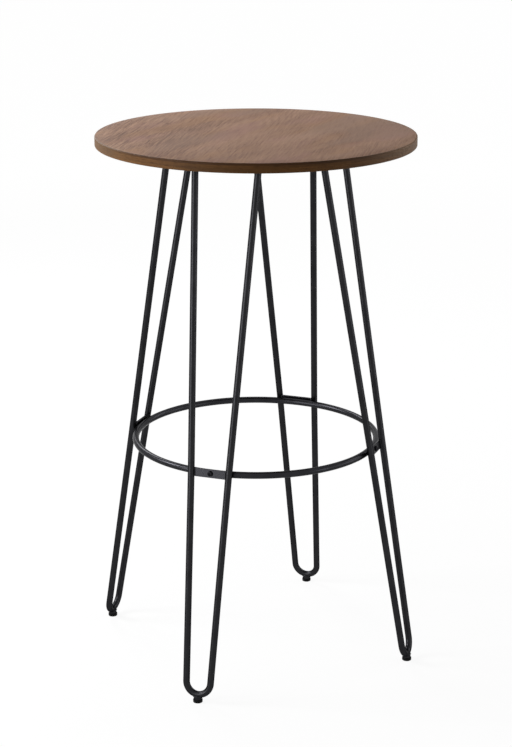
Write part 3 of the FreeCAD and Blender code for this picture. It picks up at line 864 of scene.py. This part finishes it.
def mounting_plate(leg, turn):
    """The flat plate with four screw holes."""
    half = (PLATE_HIGH - PLATE_LOW) / 2
    outline = rounded_rectangle(half.x, half.y, PLATE_CORNER_RADIUS)
    holes = [((place.x, place.y + PLATE_RADIUS), SCREW_HOLE_RADIUS) for place in plate_screw_places(0)]
    mesh = flat_plate(f"leg_plate_{leg}", outline, holes, PLATE_LOW.z, PLATE_HIGH.z, FLAT_STEEL_EDGE_RADIUS)
    mesh.transform(Matrix.Translation((0, -PLATE_RADIUS, 0)))
    material = MATERIALS["black_frame"]
    add_piece(f"leg_plate_{leg}", mesh, "table", material, [f"mounting_plate_{leg}"], turn)


def ring_tab(leg, turn):
    """The flat tab between the rods, with its screw hole."""
    outline = rounded_rectangle(TAB_HIGH.x, TAB_HEIGHT / 2, TAB_CORNER_RADIUS, TAB_CORNER_STEPS)
    hole = ((0, 0), SCREW_HOLE_RADIUS)
    mesh = flat_plate(f"tab_bar_{leg}", outline, [hole], 0, TAB_THICKNESS, FLAT_STEEL_EDGE_RADIUS)
    outwards = Matrix.Rotation(math.radians(90), 4, "X")
    behind = TAB_INSET + TAB_THICKNESS
    mesh.transform(LEG_FRAME @ Matrix.Translation((0, behind, TAB_ALONG)) @ outwards)
    # The paint's copy whose paler colour is painted highlight
    material = MATERIALS["painted_highlight_frame"]
    add_piece(f"tab_bar_{leg}", mesh, "table", material, [f"ring_tab_{leg}"], turn)


# Welds

BEAD_SIDES = 14
BEAD_STEP = 0.35 * MM

# A bead swells with each ripple, and wobbles over a longer length: both lengths, then the shares of the
# radius that its base, ripple and wobble take, and the square of the least share at its round ends
RIPPLE_LENGTH = 2.2 * MM
WOBBLE_LENGTH = 4 * MM
BASE_SHARE = 0.94
RIPPLE_SHARE = 0.06
WOBBLE_SHARE = 0.06
LEAST_END_SQUARE = 0.03

# Beads under the mounting plate: how far below it and outside the rod's surface they run
PLATE_BEAD_POINTS = 96
PLATE_BEAD_RADIUS = 2.3 * MM
PLATE_BEAD_DROP = 0.4 * MM
PLATE_BEAD_OUT = 0.5 * MM

# Outer and inner beads of a tab: place behind the rods' plane, place from the rod's centre, and radius.
# They reach this share of the tab's height up and down from its middle.
TAB_BEADS = (
    (TAB_INSET - 0.2 * MM, -6.1 * MM, 1.5 * MM),
    (TAB_INSET + TAB_THICKNESS - 0.9 * MM, -5.2 * MM, 2.1 * MM),
)
TAB_BEAD_REACH_SHARE = 0.46

# Bead round the boss: it climbs until it meets the bend or the boss's top, and is pulled in over a gap
BOSS_BEAD_POINTS = 120
BOSS_BEAD_RADIUS = 1.6 * MM
BOSS_BEAD_SEAT = 0.1 * MM
BOSS_BEAD_RISE = 0.2 * MM
CLIMB_ROUNDS = 40
CLIMB_SHARE = 0.8
CLOSED_GAP = 0.5 * MM
MOST_PULLED_IN = 1.6 * MM
EVENED_NEIGHBOURS = 5


def evenly_spaced(path, closed):
    """A path's points set again at even steps along it."""
    ends = path + path[:1] if closed else path
    lengths = [0.0]
    for first, second in zip(ends, ends[1:]):
        lengths.append(lengths[-1] + (second - first).length)
    count = round(lengths[-1] / BEAD_STEP)
    points = []
    segment = 0
    for step in range(count if closed else count + 1):
        wanted = lengths[-1] * step / count
        while segment < len(lengths) - 2 and lengths[segment + 1] < wanted:
            segment += 1
        share = (wanted - lengths[segment]) / (lengths[segment + 1] - lengths[segment])
        points.append(ends[segment].lerp(ends[segment + 1], share))
    return points


def bead_rings(path, radius, closed=False):
    """A weld bead along a path: rounded ripples, and round ends unless it is closed."""
    points = evenly_spaced(path, closed)
    ripples = max(1, round(len(points) * BEAD_STEP / RIPPLE_LENGTH))
    radii = []
    for index, point in enumerate(points):
        ripple = abs(math.sin(math.pi * ripples * index / len(points)))
        wobble = noise.noise(point / WOBBLE_LENGTH)
        size = radius * (BASE_SHARE + RIPPLE_SHARE * ripple + WOBBLE_SHARE * wobble)
        from_end = min(index, len(points) - 1 - index) * BEAD_STEP
        if not closed and from_end < radius:
            size *= math.sqrt(max(LEAST_END_SQUARE, 1 - (1 - from_end / radius) ** 2))
        radii.append(size)
    return tube_rings(points, radii, BEAD_SIDES, closed)


def joined_meshes(name, meshes):
    """Several meshes as one."""
    points, faces = [], []
    for mesh in meshes:
        start = len(points)
        points += [vertex.co.copy() for vertex in mesh.vertices]
        faces += [tuple(start + index for index in face.vertices) for face in mesh.polygons]
        bpy.data.meshes.remove(mesh)
    joined = bpy.data.meshes.new(name)
    joined.from_pydata(points, [], faces)
    joined.shade_smooth()
    return joined


def add_welds(name, paths, radii, turn, closed):
    """One piece that holds several beads, given by their paths and radii."""
    beads = [bead_rings(path, radius, closed) for path, radius in zip(paths, radii)]
    mesh = joined_meshes(name, [closed_mesh(name, rings, join_ends=closed) for rings in beads])
    add_piece(name, mesh, "table", MATERIALS["black_frame"], turn=turn)


def plate_welds(leg, turn):
    """A bead round the top of each rod, in the corner under the plate."""
    centre = cut_level([HALF_ROD[-1]], ROD_TOP_DIRECTION, PLATE_LOW.z - PLATE_BEAD_DROP)[0]
    loop = [centre + out * (ROD_RADIUS + PLATE_BEAD_OUT) for out in level_directions(PLATE_BEAD_POINTS)]
    paths = [loop, [mirrored(point) for point in loop]]
    add_welds(f"plate_welds_{leg}", paths, [PLATE_BEAD_RADIUS] * len(paths), turn, closed=True)


def rod_offset(along):
    """How far a rod's centre is from the leg's middle, this far up the slope."""
    frame_points = [LEG_FRAME.inverted() @ point for point in HALF_ROD]
    for low, high in zip(frame_points, frame_points[1:]):
        if low.z <= along <= high.z:
            return low.lerp(high, (along - low.z) / (high.z - low.z)).x
    raise ValueError("there is no rod at that height")


def tab_welds(leg, turn):
    """Short upright beads where the tab's ends meet the rods, on its outer and inner faces."""
    reach = TAB_BEAD_REACH_SHARE * TAB_HEIGHT
    paths, radii = [], []
    for behind, from_rod, radius in TAB_BEADS:
        for side in (1, -1):
            path = []
            for along in (TAB_ALONG - reach, TAB_ALONG, TAB_ALONG + reach):
                across = side * (rod_offset(along) + from_rod)
                path.append(LEG_FRAME @ Vector((across, behind, along)))
            paths.append(path)
            radii.append(radius)
    add_welds(f"tab_welds_{leg}", paths, radii, turn, closed=False)


def gap_to_bend(point):
    """How far a point is from the surface of the front leg's bend."""
    place = LEG_FRAME.inverted() @ point
    from_centre = math.hypot(place.x, place.z - BEND_CENTRE_ALONG)
    return math.hypot(from_centre - FOOT_BEND_RADIUS, place.y) - ROD_RADIUS


def evened(loop, reach):
    """A closed path whose points are each the mean of their neighbours, this many on each side."""
    count = len(loop)
    points = []
    for index in range(count):
        near = [loop[(index + step) % count] for step in range(-reach, reach + 1)]
        points.append(sum(near, Vector()) / len(near))
    return points


def boss_weld(leg, turn):
    """The bead in the corner between the threaded boss and the bend above it."""
    reach = (BOSS_HIGH.x - BOSS_LOW.x) / 2 - BOSS_BEAD_SEAT
    highest = BOSS_HIGH.z + BOSS_BEAD_RISE
    loop = []
    for out in level_directions(BOSS_BEAD_POINTS):
        point = Vector((0, -FOOT_RADIUS, BOSS_LOW.z)) + out * reach
        for _ in range(CLIMB_ROUNDS):
            point.z = min(point.z + CLIMB_SHARE * max(0, gap_to_bend(point)), highest)
        pulled_in = min(max(0, gap_to_bend(point) - CLOSED_GAP), MOST_PULLED_IN)
        loop.append(point - out * pulled_in)
    loop = evened(loop, EVENED_NEIGHBOURS)
    add_welds(f"boss_weld_{leg}", [loop], [BOSS_BEAD_RADIUS], turn, closed=True)


# Footrest ring

RING_STEPS = 288


def footrest_ring():
    """The ring, a bent round bar."""
    profile = circle((RING_RADIUS, RING_HEIGHT), RING_BAR_RADIUS, ROD_SIDES)
    mesh = lathe_mesh("footrest_ring_bar", profile, RING_STEPS, join_ends=True)
    # The paint's copy whose paler colour is painted highlight
    material = MATERIALS["painted_highlight_frame"]
    add_piece("footrest_ring_bar", mesh, "table", material, ["footrest_ring"])


# Levelling glides

PAD_SIDES = 64
PAD_ROUND_STEPS = 6
PAD_BOTTOM_ROUND = 1.3 * MM
PAD_TOP_ROUND = 1.0 * MM
PAD_SOLE_SHARE = 0.4

# The seat round the stud, in the pad's top
SEAT_RIM = 0.9 * MM
SEAT_DEPTH = 0.5 * MM

THREAD_PITCH = 1.0 * MM
THREAD_DEPTH = 0.55 * MM
STUD_TIP = 0.8 * MM
STUD_SIDES = 32
STUD_ROWS_A_TURN = 8
THREAD_SHARP_ANGLE = 80


def glide_pad(leg, turn):
    """The moulded foot: a rounded puck with a seat for its stud."""
    radius = PAD_HIGH.x
    stud_radius = STUD_HIGH.x
    bottom, top = PAD_LOW.z, PAD_HIGH.z
    low_centre = (radius - PAD_BOTTOM_ROUND, bottom + PAD_BOTTOM_ROUND)
    high_centre = (radius - PAD_TOP_ROUND, top - PAD_TOP_ROUND)
    profile = [(PAD_SOLE_SHARE * radius, bottom)]
    profile += arc(low_centre, PAD_BOTTOM_ROUND, -90, 0, PAD_ROUND_STEPS)
    profile += arc(high_centre, PAD_TOP_ROUND, 0, 90, PAD_ROUND_STEPS)
    profile += [(stud_radius + SEAT_RIM, top), (stud_radius, top - SEAT_DEPTH), (stud_radius, STUD_LOW.z)]
    mesh = lathe_mesh(f"glide_foot_{leg}", profile, PAD_SIDES, centre=(0, -FOOT_RADIUS))
    body = f"glide_{leg}"
    material = MATERIALS["glide_plastic"]
    add_piece(f"glide_foot_{leg}", mesh, body, material, [f"glide_pad_{leg}"], turn)


def glide_stud(leg, turn):
    """The glide's threaded stud."""
    radius = STUD_HIGH.x
    length = STUD_HIGH.z - STUD_LOW.z
    rows = round(length / THREAD_PITCH * STUD_ROWS_A_TURN)
    rings = []
    for row in range(rows + 1):
        height = STUD_LOW.z + length * row / rows
        tip = max(0, STUD_TIP - (STUD_HIGH.z - height))
        ring = []
        for side in range(STUD_SIDES):
            turn_share = side / STUD_SIDES
            phase = (height / THREAD_PITCH - turn_share) % 1
            groove = THREAD_DEPTH * (1 - abs(2 * phase - 1))
            reach = min(radius - groove, radius - tip)
            angle = math.tau * turn_share
            ring.append((reach * math.cos(angle), reach * math.sin(angle) - FOOT_RADIUS, height))
        rings.append(ring)
    mesh = closed_mesh(f"threaded_stud_{leg}", rings, sharp_angle=THREAD_SHARP_ANGLE)
    body = f"glide_{leg}"
    material = MATERIALS["stud_steel"]
    add_piece(f"threaded_stud_{leg}", mesh, body, material, [f"glide_stud_{leg}"], turn)


# Build the table

face_veneer()
backing_veneer()
edge_lipping()
footrest_ring()
for leg, turn in LEG_TURNS.items():
    leg_rod(leg, turn)
    mounting_plate(leg, turn)
    ring_tab(leg, turn)
    plate_welds(leg, turn)
    tab_welds(leg, turn)
    boss_weld(leg, turn)
    glide_pad(leg, turn)
    glide_stud(leg, turn)

# CAD solids that are shown as they are: how their names start, and their material
KEPT_NODE_MATERIALS = {
    "tabletop_core": "board",
    "threaded_inserts_": "insert_steel",
    "plate_screws_": "black_screws",
    "ring_screw_": "black_screws",
    "glide_boss_": "black_frame",
}
for node_name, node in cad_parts.items():
    for start, material_name in KEPT_NODE_MATERIALS.items():
        if node_name.startswith(start):
            node.data.materials.clear()
            node.data.materials.append(MATERIALS[material_name])


# Floor and backdrop

FLOOR_HALF_SIDE = 30
FLOOR_COLOUR = srgb(165, 165, 165)

# The floor as the camera sees it: a thin share of the light that falls on it, which holds the shadow,
# over a glow that rises from near the table to further off
SHADOW_LAYER = grey(0.09)
GLOW_DISTANCES = (0.5, 5.0)
GLOW_STRENGTHS = (0.915, 0.985)

# The backdrop's strength as the camera sees it, and as it lights the table
BACKDROP_SHOWN = 1.0
BACKDROP_LIGHT = 0.09


def white_for_camera(graph, lit, shown):
    """Camera, glossy and transmission rays see one shader, and all other rays the other."""
    rays = graph.node("ShaderNodeLightPath").outputs
    seen = graph.math("MAXIMUM", rays["Is Camera Ray"], rays["Is Glossy Ray"])
    seen = graph.math("MAXIMUM", seen, rays["Is Transmission Ray"])
    return graph.node("ShaderNodeMixShader", {0: seen, 1: lit, 2: shown}).outputs[0]


def floor_material():
    """A pale floor that shows white, with a faint soft shadow of the table."""
    graph = new_graph("floor")
    lit = graph.node("ShaderNodeBsdfDiffuse", {"Color": FLOOR_COLOUR}).outputs[0]
    shadow = graph.node("ShaderNodeBsdfDiffuse", {"Color": SHADOW_LAYER}).outputs[0]
    distance = graph.node("ShaderNodeVectorMath", {0: graph.place()}, operation="LENGTH").outputs["Value"]
    strength = graph.spread(distance, *GLOW_DISTANCES, *GLOW_STRENGTHS, interpolation="LINEAR")
    glow = graph.node("ShaderNodeEmission", {"Color": WHITE, "Strength": strength}).outputs[0]
    shown = graph.node("ShaderNodeAddShader", {0: shadow, 1: glow}).outputs[0]
    graph.node("ShaderNodeOutputMaterial", {"Surface": white_for_camera(graph, lit, shown)})
    return graph.owner


def make_floor():
    """The floor, a large square under the table."""
    half = FLOOR_HALF_SIDE
    corners = [(-half, -half, 0), (half, -half, 0), (half, half, 0), (-half, half, 0)]
    mesh = bpy.data.meshes.new("floor")
    mesh.from_pydata(corners, [], [(0, 1, 2, 3)])
    mesh.materials.append(floor_material())
    floor = bpy.data.objects.new("floor", mesh)
    bpy.context.scene.collection.objects.link(floor)


def make_world():
    """A white backdrop that lights the table only gently."""
    graph = Graph(bpy.data.worlds.new("studio"))
    lit, shown = [
        graph.node("ShaderNodeBackground", {"Color": WHITE, "Strength": strength}).outputs[0]
        for strength in (BACKDROP_LIGHT, BACKDROP_SHOWN)
    ]
    graph.node("ShaderNodeOutputWorld", {"Surface": white_for_camera(graph, lit, shown)})
    bpy.context.scene.world = graph.owner


# Camera and lamps

# The photograph's viewpoint: its turn from the front leg towards the right leg and its dip below the
# horizon, in degrees, and the focal length in pixels of a frame 512 pixels wide and 747 high
CAMERA_PLACE = (1.2754, -3.4664, 1.650)
CAMERA_TURN = 20.2
CAMERA_DIP = 16.576
FOCAL_PIXELS = 2000.3
FRAME_HEIGHT_PIXELS = 747
SENSOR_WIDTH = 36

# A lamp over the table: place, target, width, height and power in watts
OVERHEAD = ((-0.6, 0.8, 3.2), (-0.05, 0.1, 1.0), 2.6, 2.6, 8)

# Lamps round the table, aimed at one point: turn in degrees to the camera's right, distance from the
# table's axis, height above the floor, then the lamp's own width, height and power in watts
SIDE_LAMP_TARGET = (0, 0, 0.8)
SIDE_LAMPS = {
    "high_left": (-90, 2.7, 2.2, 1.0, 1.2, 71),
    "back_left": (-150, 2.7, 2.2, 1.0, 1.2, 37),
    "front_left": (-53, 3.0, 0.9, 1.7, 1.4, 41),
    "front_right": (62, 3.1, 0.8, 0.5, 1.6, 9),
    "right": (90, 3.0, 0.9, 1.0, 1.4, 10),
    "back_right": (118, 3.1, 1.7, 0.9, 2.2, 20),
}


def add_softbox(name, place, target, width, height, power):
    """A rectangular lamp aimed at a point."""
    lamp = bpy.data.lights.new(name, "AREA")
    lamp.shape = "RECTANGLE"
    lamp.size = width
    lamp.size_y = height
    lamp.energy = power
    holder = bpy.data.objects.new(name, lamp)
    holder.location = place
    holder.rotation_euler = (Vector(target) - Vector(place)).to_track_quat("-Z", "Y").to_euler()
    bpy.context.scene.collection.objects.link(holder)


def add_lamps():
    """The lamp over the table and those round it."""
    add_softbox("overhead", *OVERHEAD)
    for name, (turn, distance, above_floor, width, height, power) in SIDE_LAMPS.items():
        angle = math.radians(turn + CAMERA_TURN - 90)
        place = (distance * math.cos(angle), distance * math.sin(angle), above_floor)
        add_softbox(name, place, SIDE_LAMP_TARGET, width, height, power)


def add_camera():
    """The photograph's camera."""
    camera = bpy.data.cameras.new("camera")
    camera.sensor_width = SENSOR_WIDTH
    camera.lens = FOCAL_PIXELS * SENSOR_WIDTH / FRAME_HEIGHT_PIXELS
    holder = bpy.data.objects.new("camera", camera)
    holder.location = CAMERA_PLACE
    holder.rotation_euler = (math.radians(90 - CAMERA_DIP), 0, math.radians(CAMERA_TURN))
    bpy.context.scene.collection.objects.link(holder)
    bpy.context.scene.camera = holder


make_floor()
make_world()
add_lamps()
add_camera()
bpy.context.scene.view_settings.view_transform = "Standard"
